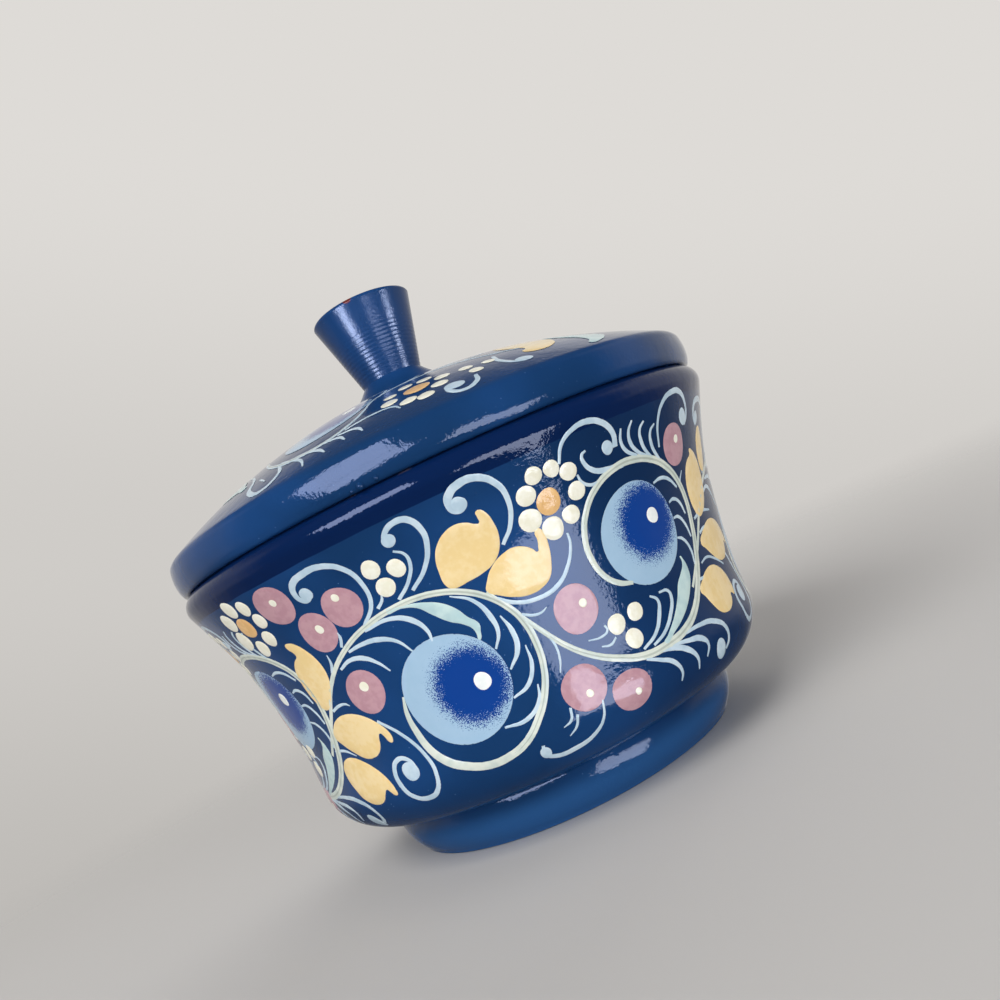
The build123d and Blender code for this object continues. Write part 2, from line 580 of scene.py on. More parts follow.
knobOutline = chain(
    [(0, 61.4), (2.5, 61.4), (knob["tenon"], 62.0), (knob["tenon"], landHeight)],
    [(knob["base"], landHeight), (knob["base"], 65.2)],
    arcRun((knob["base"], 65.2), (6.5, 66.8), knob["neck"], 12),
    knobCone(),
    arcRun(knob["brim"], (8.131, 80.831), (7.8, 81.0), 5),
    easyRun([(7.8, 81.0), (4.0, 81.42), (0, knob["top"])], (-1, 0.15), (-1, 0), 10),
)


def knobChip(kit):  # a small knock through the lacquer on the brim
    away = kit.node("ShaderNodeVectorMath", {"operation": "DISTANCE"},
                    {0: kit.place(), 1: knob["chipPlace"]}, output="Value")
    away = away + kit.noise(knob["chipScale"]) * knob["chipRagged"]
    return kit.ease(away, knob["chipSize"], knob["chipSize"] + knob["chipSoft"], 1, 0)


knobPiece = lathe("knob_turned", knobOutline, knob["steps"])
finishes["knob"] = finish(
    "blue_lacquer_knob",
    lambda kit: lacquerSkin(kit, chip=knobChip, roughness=lacquer["knobRoughness"]),
    lacquer["specular"],
)
paintFaces(knobPiece, [finishes["knob"]], lambda centre: 0)
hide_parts("knob")
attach(knobPiece, "lid")
print("knob turned")


# Painting by hand: each stroke or dab is drawn flat on a plan and then laid on the wood

plan = {
    "radius": 38.0,     # the bowl's plan is unrolled at this radius
    "thickness": 0.035,
    "tuck": 0.012,      # how far the edge of a stroke lies under the surface
    "edge": 9,          # how soon a stroke reaches its thickness
    "strokeSteps": 6,
    "shapeSteps": 5,
    "shapeEdge": 0.1,
    "cutEvery": 1.2,    # a painted shape is cut this finely to follow the wood
}


def layOnBowl(x, y, lift):  # x along the girth and y up, in millimetres
    turn = x / plan["radius"]
    y = min(max(y, wallRun[0][1] + 0.05), wallRun[-1][1] - 0.05)
    for (r0, z0), (r1, z1) in zip(wallRun, wallRun[1:]):
        if z0 <= y <= z1:
            break
    share = (y - z0) / (z1 - z0)
    length = math.hypot(r1 - r0, z1 - z0)
    r = r0 + (r1 - r0) * share + lift * (z1 - z0) / length
    z = y - lift * (r1 - r0) / length
    return Vector((r * math.sin(turn), -r * math.cos(turn), z)) * mm


def layOnDome(x, y, lift):
    z = domeHeight(math.hypot(x, y))
    away = Vector((x, y, z - lid["domeCentre"])).normalized()
    return (Vector((x, y, z)) + away * lift) * mm


def widthAt(widths, share):  # start, middle and end widths blended along the stroke
    start, middle, end = widths
    if share < 0.5:
        return start + (middle - start) * share * 2
    return middle + (end - middle) * (share * 2 - 1)


def addKnots(curve, points):
    spline = curve.splines.new("BEZIER")
    spline.bezier_points.add(len(points) - 1)
    for knot, (x, y) in zip(spline.bezier_points, points):
        knot.co = (x, y, 0)
        knot.handle_left_type = knot.handle_right_type = "AUTO"
    return spline


def curveToMesh(name, curve):
    piece = bpy.data.objects.new(name, curve)
    bpy.context.collection.objects.link(piece)
    bpy.ops.object.select_all(action="DESELECT")
    piece.select_set(True)
    bpy.context.view_layer.objects.active = piece
    bpy.ops.object.convert(target="MESH")
    return bpy.context.object


def drawStrokes(name, strokes, toPlan, section=1):
    curve = bpy.data.curves.new(name, "CURVE")
    curve.dimensions = "3D"
    curve.twist_mode = "Z_UP"
    curve.resolution_u = plan["strokeSteps"]
    curve.bevel_depth = 1
    curve.bevel_resolution = section
    for widths, points in strokes:
        spline = addKnots(curve, [toPlan(*point) for point in points])
        for i, knot in enumerate(spline.bezier_points):
            share = i / (len(points) - 1)
            width = widths[i] if len(widths) == len(points) else widthAt(widths, share)
            knot.radius = width / 2
    piece = curveToMesh(name, curve)
    bpy.ops.object.mode_set(mode="EDIT")
    bpy.ops.mesh.select_all(action="SELECT")
    bpy.ops.mesh.bisect(plane_co=(0, 0, 0), plane_no=(0, 0, 1), clear_inner=True)
    bpy.ops.mesh.select_all(action="SELECT")
    bpy.ops.mesh.remove_doubles(threshold=0.004)
    bpy.ops.object.mode_set(mode="OBJECT")
    return piece


def drawShapes(name, outlines, toPlan):  # flat painted shapes, each given by its outline
    made = []
    for outline in outlines:
        curve = bpy.data.curves.new(name, "CURVE")
        curve.dimensions = "3D"
        curve.resolution_u = plan["shapeSteps"]
        addKnots(curve, [toPlan(*point) for point in outline]).use_cyclic_u = True
        shape = curveToMesh(name, curve)
        bpy.ops.object.mode_set(mode="EDIT")
        bpy.ops.mesh.select_all(action="SELECT")
        bpy.ops.mesh.edge_face_add()
        bpy.ops.mesh.inset(thickness=plan["shapeEdge"])
        bpy.ops.transform.translate(value=(0, 0, 1))
        bpy.ops.object.mode_set(mode="OBJECT")
        xs = [v.co.x for v in shape.data.vertices]
        ys = [v.co.y for v in shape.data.vertices]
        bpy.ops.object.mode_set(mode="EDIT")
        for low, high, normal in ((min(xs), max(xs), (1, 0, 0)), (min(ys), max(ys), (0, 1, 0))):
            for cut in range(1, int((high - low) / plan["cutEvery"]) + 1):
                at = low + cut * plan["cutEvery"]
                bpy.ops.mesh.select_all(action="SELECT")
                bpy.ops.mesh.bisect(plane_co=(at * normal[0], at * normal[1], 0), plane_no=normal)
        bpy.ops.object.mode_set(mode="OBJECT")
        made.append(shape)
    return joinPieces(made, name)


def drawDabs(name, dabs, toPlan, dome=0.0, sides=20, wobble=0.05):
    bpy.ops.object.select_all(action="DESELECT")
    bpy.ops.mesh.primitive_circle_add(vertices=sides, radius=1, fill_type="NGON")
    model = bpy.context.object
    bpy.ops.object.mode_set(mode="EDIT")
    for width, rise in ((0.12, 1.0), (0.3, 0.0), (0.3, 0.0)):
        bpy.ops.mesh.inset(thickness=width)
        bpy.ops.transform.translate(value=(0, 0, rise))
    bpy.ops.mesh.poke()
    bpy.ops.object.mode_set(mode="OBJECT")
    copies = []
    for dab in dabs:
        x, y = toPlan(dab[0], dab[1])
        across, up = dab[2], dab[3] if len(dab) > 3 else dab[2]
        copy = model.copy()
        copy.data = model.data.copy()
        bpy.context.collection.objects.link(copy)
        waves = [(random.uniform(0, math.tau), random.uniform(0.3, 1) * wobble) for _ in range(3)]
        for v in copy.data.vertices:
            angle = math.atan2(v.co.y, v.co.x)
            grow = 1 + sum(size * math.sin((k + 2) * angle + phase) / (k + 1)
                           for k, (phase, size) in enumerate(waves))
            inner = 1 - math.hypot(v.co.x, v.co.y)
            rise = 0 if v.co.z < 0.5 else 1 + dome * (1 - (1 - inner) ** 2)
            v.co = (x + v.co.x * grow * across, y + v.co.y * grow * up, rise)
        copies.append(copy)
    bpy.data.objects.remove(model)
    return joinPieces(copies, name)


def layDown(piece, lay, turns, layer, material, body):  # lays the plan on the wood at each turn
    copies = []
    for turn in turns:
        copy = piece.copy()
        copy.data = piece.data.copy()
        bpy.context.collection.objects.link(copy)
        for v in copy.data.vertices:
            lift = min(v.co.z * plan["edge"], 1) * plan["thickness"] - plan["tuck"] + layer
            if v.co.z > 1:
                lift += (v.co.z - 1) * plan["thickness"]
            v.co = lay(v.co.x, v.co.y, lift, turn)
        copies.append(copy)
    name = piece.name
    bpy.data.objects.remove(piece)
    laid = joinPieces(copies, name)
    bpy.ops.object.mode_set(mode="EDIT")
    bpy.ops.mesh.select_all(action="SELECT")
    bpy.ops.mesh.normals_make_consistent(inside=False)
    bpy.ops.object.mode_set(mode="OBJECT")
    bpy.ops.object.shade_smooth_by_angle(angle=math.radians(50))
    laid.data.materials.clear()
    laid.data.materials.append(material)
    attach(laid, body)


def girthPlan(angle, height):
    return math.radians(angle) * plan["radius"], height


def flatPlan(x, y):
    return x, y


def girthLay(x, y, lift, turn):
    shift, rise = turn
    return layOnBowl(x + math.radians(shift) * plan["radius"], y + rise, lift)


def domeLay(x, y, lift, turn):
    c, s = math.cos(math.radians(turn)), math.sin(math.radians(turn))
    return layOnDome(x * c - y * s, x * s + y * c, lift)


# Bowl ornament: two scroll groups run round the girth in turn, places as degrees and millimetres

lowScroll = [
    (-52, 20.5), (-45, 25), (-38, 29.8), (-30, 33), (-23, 34.5), (-16.6, 35), (-12.6, 34.9), (-9, 34.4),
    (-5.1, 33.3), (-1.6, 31.6), (1.2, 29.3), (2.8, 26.8), (3.2, 23.4), (2.5, 20.6), (0.7, 18),
    (-2.5, 15.5), (-6.4, 13.6), (-10.7, 12.8), (-14.9, 12.8), (-19, 13.7), (-22.6, 15.2), (-24.9, 17.3),
    (-25.8, 19.7), (-25.8, 22.3), (-24.7, 24.6),
]
lowGroup = {
    "turns": [(0, 0), (93, 0), (183, 0), (273, 0)],
    "rings": [
        ((0.5, 0.6, 0.65, 0.7, 0.75, 0.8, 0.8, 0.8, 0.8, 0.8, 0.85, 0.9, 0.9, 0.9, 0.95, 1.0, 1.05, 1.05,
          1.1, 1.15, 1.2, 1.15, 1.0, 0.7, 0.3),
         lowScroll),
    ],
    "lines": [
        ((0.2, 0.8, 0.3), [(-7.3, 33.4), (-4, 31.8), (-2.3, 29), (-2.3, 27), (-4, 25.3)]),
        ((0.2, 1.0, 0.3), [(-0.7, 28.7), (0.1, 26.5), (-0.4, 24.2), (-3.2, 22.3)]),
        ((0.2, 0.8, 0.3), [(1.2, 24.2), (0.8, 21.8), (-1.5, 19.7), (-5, 19)]),
        ((0.2, 0.8, 0.3), [(0.2, 19.3), (-0.8, 17.5), (-4.5, 16), (-9, 16.2)]),
        ((0.4, 0.85, 0.3), [(-24.5, 33.9), (-19, 34), (-15.5, 32.8), (-13.8, 30.8), (-13.9, 29.4)]),
        ((0.4, 0.8, 0.25), [(-30, 32.4), (-27, 32.6), (-23, 32.3), (-20, 31.2), (-18.2, 29.3)]),
        ((0.4, 0.8, 0.25), [(-34, 30.8), (-31, 31.4), (-28, 31), (-25.8, 29.8), (-24.2, 28.2)]),
        ((0.5, 1.0, 0.5),
         [(-24, 34.5), (-20.5, 36.5), (-19.7, 39), (-20.8, 41.5), (-24, 43.1), (-28, 43.3), (-31, 42.7),
          (-32, 41.5), (-31.5, 40.5), (-30.3, 40.3), (-29.5, 41), (-30, 41.7)]),
        ((0.5, 0.4, 0.2), [(-19.8, 35.7), (-18.2, 36.5), (-17.9, 37)]),
        ((0.5, 0.5, 0.3), [(-15.5, 35.6), (-12.5, 37), (-10.5, 39), (-10.6, 40.2), (-12, 41)]),
        ((0.5, 0.9, 0.5),
         [(-12.5, 35.9), (-9, 37.5), (-6.5, 40), (-6.2, 42), (-7.5, 43.6), (-9.5, 43.9), (-11.5, 43.3),
          (-12.2, 42.3), (-11.3, 41.8)]),
        ((0.5, 1.15, 0.5),
         [(5, 36.2), (7.5, 38), (8.6, 41), (7.5, 43.2), (4.8, 44.6), (2.2, 44.7), (0.1, 44), (-0.5, 43),
          (0, 42.1), (1.3, 42), (1.9, 42.7), (1.2, 43.2)]),
        ((0.45, 0.5, 0.15), [(-36.5, 30.8), (-35.3, 32), (-35, 33.2)]),
        ((0.45, 0.5, 0.15), [(-30.8, 33.3), (-29.8, 34.5), (-29.7, 35.2)]),
        ((0.45, 0.5, 0.15), [(-42.5, 26.2), (-40, 26.6), (-38, 26.5), (-37.2, 26.1)]),
        ((0.45, 0.5, 0.15), [(-50, 20.9), (-46.5, 20.7), (-43.5, 19.6)]),
        ((0.5, 0.9, 0.5),
         [(-33, 23), (-29.5, 20.5), (-26.5, 17), (-25.9, 14.5), (-27.5, 12.3), (-30.5, 11.6),
          (-33.5, 12.3), (-35.2, 14.3), (-35.2, 16.2), (-33.6, 17.4), (-31.2, 17.3), (-29.9, 16),
          (-30.4, 14.8), (-32, 14.6)]),
        ((0.55, 0.65, 0.3),
         [(-0.5, 31), (3, 29.3), (7, 28.6), (11, 28.9), (14.5, 30.6), (16.5, 33), (16.6, 34.2)]),
        ((0.4, 0.4, 0.15), [(3, 27.7), (5, 27), (6.5, 26.9), (7.7, 27.2)]),
        ((0.3, 0.4, 0.2), [(5.7, 24.2), (6.3, 22.5), (6, 20.8), (5, 19.3)]),
        ((0.4, 0.4, 0.15), [(3.9, 15), (3, 13.6), (1.2, 13.2)]),
        ((0.4, 0.4, 0.15), [(4.6, 13.9), (3.6, 12.7), (1.6, 11.9)]),
        ((0.3, 0.75, 0.5),
         [(10.2, 14.1), (9, 12), (6, 10.6), (1.5, 10.1), (-2.8, 10.4), (-4.3, 11.2), (-3.9, 12.3)]),
        ((0.3, 0.4, 0.2), [(16.7, 22), (16.9, 21.3), (15.5, 20.9), (12.5, 21.2)]),
        ((0.3, 0.4, 0.2), [(18, 20), (16.5, 19.5), (14.5, 19.8)]),
    ],
    "centres": [((0.1, 0.4, 0.1), lowScroll[:20])],
    "paleLeaves": [
        [(-19, 34.9), (-15.5, 34.75), (-12, 34.1), (-9, 33), (-7, 31.5), (-6, 30.2), (-5, 29.4),
         (-4.7, 28.8), (-5.1, 28), (-5.6, 27.2), (-6, 27.1), (-6, 28), (-6.2, 28.7), (-7.3, 29.6),
         (-9.5, 30.7), (-11.5, 32.2), (-13.5, 33.8), (-16, 34.5)],
    ],
    "balls": [(-30, 41, 0.85), (-11.7, 42.3, 0.8), (-31.3, 15.6, 1.3), (-4, 11.3, 0.75),
              (0.9, 42.7, 0.8)],
    "berries": [(-14.2, 22.8, 7.1, 6.95)],
    "heart": (-11.2, 22.6),
    "spots": [(-8.9, 22.5, 1.12)],
    "cream": [(-17, 40.2, 1.15), (-13, 39.1, 1.1), (-16.4, 37.6, 1.2),
              (14, 42, 1.05), (17.4, 41.9, 1.0), (20.3, 40.8, 1.1), (20.9, 38.3, 1.15), (18.5, 36, 1.15),
              (14.4, 35.4, 1.4), (11, 37.4, 1.4), (11.7, 40.2, 1.2),
              (19.2, 21.4, 1.3), (24, 21.7, 1.2), (21.6, 18.8, 1.3)],
    "orange": [(15.2, 38.5, 1.55)],
    "rose": [(12.8, 25.4, 3.0), (8, 16.4, 3.05, 2.8), (16.7, 13.4, 2.9, 2.5)],
    "lights": [(14.4, 25.7, 0.6), (8.5, 15.5, 0.55), (17.7, 12.9, 0.5)],
    "yellow": [
        [(-7, 34.7), (-7, 36.4), (-6.3, 38.3), (-4.9, 39.6), (-2.8, 40.5), (-0.8, 40.7), (1, 40.3),
         (2.2, 39.75), (2.7, 39.7), (2.8, 40.4), (2.85, 41.0), (3.5, 41.1), (4.4, 40.5), (5, 39),
         (5, 37.5), (4, 35.8), (2.2, 34.7), (0, 34.2), (-3, 34), (-6.3, 34.1)],
        [(-1, 31.9), (-0.2, 33.1), (1.6, 34.4), (4, 35.2), (6.4, 35.4), (8.4, 34.9), (9.6, 34.2),
         (10.2, 33.7), (10.6, 34.2), (10.9, 35), (10.9, 35.9), (11.8, 36.2), (12.5, 35.4), (12.5, 33.8),
         (11.8, 31.8), (10.6, 30.3), (8.8, 29.6), (6, 29.4), (3, 30), (0.6, 31)],
    ],
}

leftFill = {  # fills the space left of a low berry, except where a high berry's fill stands
    "turns": [(0, 0), (183, 0), (273, 0)],
    "cream": [(-48.7, 43.7, 1.25), (-44.8, 43, 1.1), (-43.7, 40.7, 1.1), (-45.5, 38.2, 1.2),
              (-49.8, 37.4, 1.25), (-53.7, 39.3, 1.5), (-52.7, 42.3, 1.35)],
    "orange": [(-48.9, 40.7, 1.55)],
    "rose": [(-37.7, 41.5, 2.75), (-33.3, 36.2, 2.7), (-25.6, 37.7, 2.6), (-31.7, 27, 2.95)],
    "lights": [(-37.3, 41.9, 0.55), (-32.6, 36.5, 0.65), (-25.6, 39.1, 0.55), (-31.3, 27.7, 0.75)],
    "yellow": [
        [(-44.8, 26.8), (-46, 28.2), (-46.5, 30.2), (-46.2, 31.9), (-45.2, 33.3), (-43.6, 34.2),
         (-42.4, 34.6), (-42.4, 35.1), (-43.2, 36), (-43.1, 36.5), (-41.9, 36.6), (-40.4, 36.1),
         (-39, 34.9), (-38, 33.4), (-37.7, 31.7), (-38.3, 30.1), (-39.8, 28.5), (-41.8, 27.1),
         (-43.4, 26.6)],
        [(-47, 22.9), (-45.6, 24.1), (-43.3, 25), (-40, 25.3), (-37, 24.8), (-34.6, 23.8), (-32.9, 22.6),
         (-31.8, 21.4), (-31.7, 20.2), (-32.2, 19.8), (-32.9, 20), (-33.4, 20.9), (-34, 21.4),
         (-34.6, 21.1), (-35.5, 19.9), (-37, 19), (-38.8, 18.7), (-41, 18.9), (-43.5, 20), (-45.8, 21.5)],
        [(-50.8, 17.6), (-49.5, 19), (-47.5, 19.6), (-45, 19.5), (-42.3, 18.6), (-39.7, 17.2),
         (-37.9, 15.6), (-37, 13.9), (-37.2, 13.3), (-38, 13.3), (-38.8, 13.9), (-39.5, 14.3),
         (-40.3, 13.9), (-42, 12.9), (-44.5, 12.6), (-47, 13.2), (-49.2, 14.7)],
    ],
}

highScroll = [
    (-1, 32), (1, 29.6), (3, 27.2), (5, 25), (8, 22.1), (12, 19.5), (17, 17.5), (22, 16.3), (28, 16),
    (34, 16.5), (39, 18), (43, 20.5), (46.4, 24.2), (48.4, 28), (48.8, 31.4), (47.2, 34.3), (44, 36.5),
    (40, 38), (35, 38.9), (30, 38.9), (25, 37.7), (21.5, 35.5), (19.5, 32.6), (19.3, 30), (20.5, 27.5),
    (23, 25.8), (26, 25),
]
highGroup = {
    "turns": [(0, 0), (90, 0), (180, 0), (-94, -1.5)],
    "rings": [
        ((0.3, 0.5, 0.6, 0.65, 0.75, 0.85, 0.95, 1.05, 1.15, 1.15, 1.15, 1.15, 1.15, 1.1, 1.1, 1.05, 1.05,
          1.0, 1.0, 0.95, 0.9, 0.85, 0.85, 0.85, 0.8, 0.75, 0.5),
         highScroll),
    ],
    "lines": [
        ((0.4, 0.8, 0.9),
         [(19, 42), (20.3, 44), (23, 45.1), (26, 45.3), (29, 44.5), (31, 42.8), (31, 41.2)]),
        ((0.3, 0.7, 0.9),
         [(24.5, 42.2), (23.6, 41.9), (23.7, 40.9), (25.2, 39.7), (28, 39.1), (32, 38.9)]),
        ((0.3, 0.5, 0.4), [(21.8, 40), (22.3, 39), (24, 38.2), (26, 38.2)]),
        ((0.3, 0.7, 0.4), [(33, 43), (32.5, 41.5), (33.5, 40.2), (36, 39.2)]),
        ((0.3, 0.7, 0.4), [(36, 43.4), (34.8, 42.3), (34.8, 41), (36.5, 39.5), (39, 38.6)]),
        ((0.3, 0.7, 0.4), [(39.2, 42.8), (37.8, 42), (37.8, 40.5), (39, 39), (41, 37.8)]),
        ((0.3, 0.7, 0.4), [(42.3, 42), (40.8, 41.3), (40.6, 39.8), (42, 38), (43.5, 36.8)]),
        ((0.3, 0.65, 0.4), [(39, 35.1), (41.5, 35.3), (44, 34.8), (46.5, 33.3)]),
        ((0.3, 0.65, 0.4), [(42.3, 31.9), (44, 32.1), (46, 31.3), (47, 29.6)]),
        ((0.3, 0.65, 0.4), [(42.3, 29.8), (44, 29.7), (45.8, 28.3), (46.5, 26.5)]),
        ((0.3, 0.65, 0.4), [(41.5, 27.3), (43.2, 26.8), (44.8, 25), (44.5, 23)]),
        ((0.3, 0.75, 0.4), [(28.5, 22.5), (30.1, 21.5), (29.3, 20), (26.5, 18), (22.5, 17)]),
        ((0.3, 0.75, 0.4), [(31, 22.3), (33.5, 21.9), (33.8, 21), (32, 19.2), (28.5, 17.5), (25, 16.8)]),
        ((0.4, 0.8, 0.3), [(22, 15.8), (25, 14.8), (27.5, 13.8), (28.9, 12), (28.3, 11)]),
        ((0.4, 1.0, 0.3), [(24, 16), (29, 15.2), (32, 14.2), (34, 12.5), (33.9, 11)]),
        ((0.4, 1.0, 0.3), [(29, 15.6), (33.5, 15), (37, 14.3), (38.3, 13.2), (37, 11.8)]),
        ((0.4, 1.0, 0.5), [(33, 16), (38, 15.9), (43, 15.2), (46.2, 13.6), (46.3, 12), (44.5, 11)]),
    ],
    "centres": [
        ((0.1, 0.4, 0.35),
         [(3, 27), (5, 25), (8, 22), (12, 19.5), (17, 17.5), (22, 16.2), (28, 16), (34, 16.5), (39, 18),
          (43, 20.5), (46.4, 24.2)]),
        ((0.35, 0.4, 0.1), highScroll[12:24]),
    ],
    "paleLeaves": [
        [(40.3, 25), (41.1, 24.4), (41.6, 23.2), (41.4, 22), (40.4, 20.9), (38.2, 19.4), (35, 18),
         (31, 16.9), (27.5, 16.3), (29, 17), (31.5, 18.1), (34, 19.5), (35.6, 20.7), (36.9, 22),
         (38.6, 22.9), (40, 23.7), (40.4, 24.4)],
    ],
    "balls": [(29.2, 41.5, 0.85), (42.5, 11.5, 1.3)],
    "berries": [(32.3, 30, 6.6, 6.5)],
    "heart": (34.5, 31.1),
    "spots": [(36.2, 31.5, 1.04)],
}

rightFill = {  # stands right of one high berry, where the next low berry has no fill of its own
    "turns": [(0, 0)],
    "lines": [
        ((0.4, 0.9, 0.5),
         [(43, 39), (43.5, 42), (46, 44.2), (49.5, 45), (53, 44.8), (55.5, 43.4), (56, 41.8),
          (54.5, 40.5)]),
        ((0.2, 0.4, 0.2), [(49, 31), (48.2, 33.5), (50, 35)]),
        ((0.4, 0.7, 0.3), [(50, 28.3), (54, 28.8), (60, 28.3)]),
        ((0.3, 0.5, 0.3), [(47, 22.6), (50, 22.9), (54, 22), (58, 20.6)]),
    ],
    "balls": [(53.8, 41.6, 1.1)],
    "rose": [(48.6, 38.6, 2.75)],
    "lights": [(49.5, 39.2, 0.6)],
    "yellow": [
        [(52.5, 28.3), (51.2, 29.5), (50.6, 31.5), (51, 33.5), (52.5, 35.3), (54.4, 36.2), (55.5, 36.5),
         (55.6, 37.2), (57.5, 36.9), (59.5, 35.8), (60.6, 34), (60.3, 31.8), (58.5, 29.9), (55.5, 28.5)],
        [(49.6, 24.9), (52, 26.2), (55, 27), (58.5, 27.2), (62, 26.6), (64.6, 25.4), (66.2, 23.8),
         (65.6, 22.7), (64.8, 23.2), (63.6, 22.4), (62, 21.5), (59.5, 21.1), (56, 21.5), (53, 22.8),
         (51, 24)],
        [(43, 19.5), (45, 20.6), (48, 21.5), (51, 21.6), (54, 20.9), (56.5, 19.6), (57.6, 18.2),
         (57.6, 16.8), (56.8, 16.2), (55.9, 16.6), (55.1, 16.7), (54.4, 16), (52.5, 15.2), (49.5, 15),
         (47, 15.6), (45.3, 17), (44, 18.5)],
        [(61.8, 33.8), (60.9, 35.5), (61.2, 37.6), (62.6, 39.2), (64.6, 39.8), (66.4, 39), (67, 37.2),
         (66.2, 35.2), (64, 33.7)],
    ],
}

domeGroup = {
    "turns": [0, 120, 240],
    "lines": [
        ((0.15, 1.1, 0.5),
         [(-21, -16), (-20.5, -22), (-18.5, -30), (-15, -34), (-10.5, -35.5), (-6.5, -33.5), (-5, -31)]),
        ((0.5, 0.6, 0.2), [(-17.5, -31), (-15.5, -34), (-14.3, -36.5), (-14.1, -38.8)]),
        ((0.5, 0.6, 0.2), [(-13.5, -35), (-11.8, -37), (-11, -39)]),
        ((0.5, 0.6, 0.2), [(-10.8, -35.9), (-9, -37), (-8.2, -39)]),
        ((0.5, 0.6, 0.2), [(-9, -36), (-6.5, -37.5), (-5.8, -39.5)]),
        ((0.5, 0.6, 0.2), [(-8, -35.6), (-4, -35.5), (-1.5, -36.5), (-0.6, -38.5)]),
        ((0.2, 0.9, 0.5),
         [(-24, -20), (-22, -28), (-22.3, -33), (-20, -36.3), (-17.8, -35), (-17.6, -32)]),
        ((0.4, 0.5, 0.2), [(-20.7, -31), (-19.8, -33.5)]),
        ((0.5, 0.9, 0.6), [(9.4, -37), (9, -39.5), (7, -41), (5.5, -39.5), (5.6, -38)]),
        ((0.5, 0.9, 0.5), [(13, -30), (13.3, -34), (15.5, -36.5), (16.8, -35.8)]),
        ((0.4, 0.8, 0.5), [(-5, -31), (-3, -26), (2, -23.5), (8, -24), (13, -27), (17, -28)]),
        ((0.3, 0.7, 0.2), [(-2.6, -25.6), (-1.6, -22.4), (-2.2, -19), (-5, -16.6), (-8.6, -16)]),
        ((0.3, 0.7, 0.2), [(1, -23.8), (3, -21), (3.4, -17.6), (1.6, -14.6)]),
        ((0.3, 0.7, 0.2), [(5.6, -23.6), (8, -21.2), (9.4, -18), (8.8, -14.6), (6.8, -13)]),
        ((0.3, 0.7, 0.2), [(9.6, -24.6), (12, -22.4), (13, -19.6), (12.8, -16.4)]),
    ],
    "centres": [
        ((0.2, 0.45, 0.2), [(-20.5, -22), (-18.5, -30), (-15, -34), (-10.5, -35.5), (-6.5, -33.5)]),
    ],
    "paleLeaves": [
        [(-23.6, -28), (-25.2, -25.6), (-27.6, -23.2), (-28.8, -19.8), (-28.2, -16.2), (-26.6, -14),
         (-25.9, -17), (-24.6, -19.6), (-23.9, -22.8), (-23.8, -25.6)],
        [(21.6, -20.4), (24, -22.2), (26.4, -24.6), (27.8, -27.4), (27.4, -30), (26.2, -32.4),
         (24.8, -33.6), (25.1, -31.4), (24.8, -29), (23.6, -26.4), (22.4, -23.6)],
    ],
    "balls": [(6.4, -38.3, 1.3), (15.8, -35.8, 1.1)],
    "berries": [(-10.5, -25, 6.8)],
    "heart": (-9.2, -25.4),
    "spots": [(-7.2, -24.6, 1.1)],
    "cream": [(-1.3, -31.3, 0.9), (-1.7, -34.3, 1.2), (0.6, -37, 1.15), (2.8, -37.8, 1.15),
              (5, -35.3, 1.15), (5.8, -32, 1.1), (3.6, -29.5, 1.1), (1, -29, 1.1), (9, -32, 1.0),
              (9.9, -34.8, 1.0), (12, -32.2, 0.9)],
    "orange": [(2.2, -33, 1.8)],
    "yellow": [
        [(16.8, -16.6), (14.8, -19), (14.4, -22.6), (15.4, -26), (17, -28.4), (17.3, -30), (16.6, -31.6),
         (17.4, -32.8), (19.2, -32.6), (20.8, -30.6), (21.6, -27.6), (21.4, -23.6), (20.2, -19.6),
         (18.6, -16.8)],
    ],
}


def mapPlan(piece, centre):  # a flat UV map with its middle at the heart of the berry
    uv = piece.data.uv_layers.new(name="plan")
    for loop in piece.data.loops:
        place = piece.data.vertices[loop.vertex_index].co
        uv.data[loop.index].uv = [0.5 + (a - c) / berryPaint["span"] for a, c in zip(place.xy, centre)]


bigBerry = {"dome": 0.4, "sides": 48, "wobble": 0.012}
smallBerry = {"dome": 0.5, "sides": 32, "wobble": 0.03}
layers = [  # what a group may hold, in the order it is painted, with the layer's lift in millimetres
    ("rings", "_berry_rings", drawStrokes, {"section": 2}, 0.004, "ringWhite", "pale_blue_paint"),
    ("lines", "_scroll_lines", drawStrokes, {}, 0.0, "paleBlue", "pale_blue_paint"),
    ("centres", "_scroll_shades", drawStrokes, {}, 0.014, "greyGreen", "pale_blue_paint"),
    ("paleLeaves", "_pale_leaves", drawShapes, {}, 0.008, "paleGreen", "pale_blue_paint"),
    ("yellow", "_yellow_leaves", drawShapes, {}, 0.006, "yellow", "yellow_paint"),
    ("balls", "_scroll_ends", drawDabs, {}, 0.01, "paleBlue", "pale_blue_paint"),
    ("berries", "_big_berry", drawDabs, bigBerry, 0.012, "berry", "berry_blue_paint"),
    ("spots", "_berry_lights", drawDabs, {}, 0.05, "white", "cream_paint"),
    ("rose", "_rose_berries", drawDabs, smallBerry, 0.012, "rose", "rose_paint"),
    ("orange", "_rosette_hearts", drawDabs, {"dome": 1}, 0.01, "orange", "orange_paint"),
    ("cream", "_cream_dabs", drawDabs, {"dome": 1.2}, 0.01, "cream", "cream_paint"),
    ("lights", "_rose_lights", drawDabs, {"sides": 14}, 0.04, "cream", "cream_paint"),
]


def paintGroup(prefix, group, toPlan, lay, body):
    for key, ending, draw, options, lift, colourName, slot in layers:
        if key in group:
            piece = draw(prefix + ending, group[key], toPlan, **options)
            if key == "berries":
                mapPlan(piece, toPlan(*group["heart"]))
            layDown(piece, lay, group["turns"], lift, finishes[colourName], body)
    print("painted", prefix)


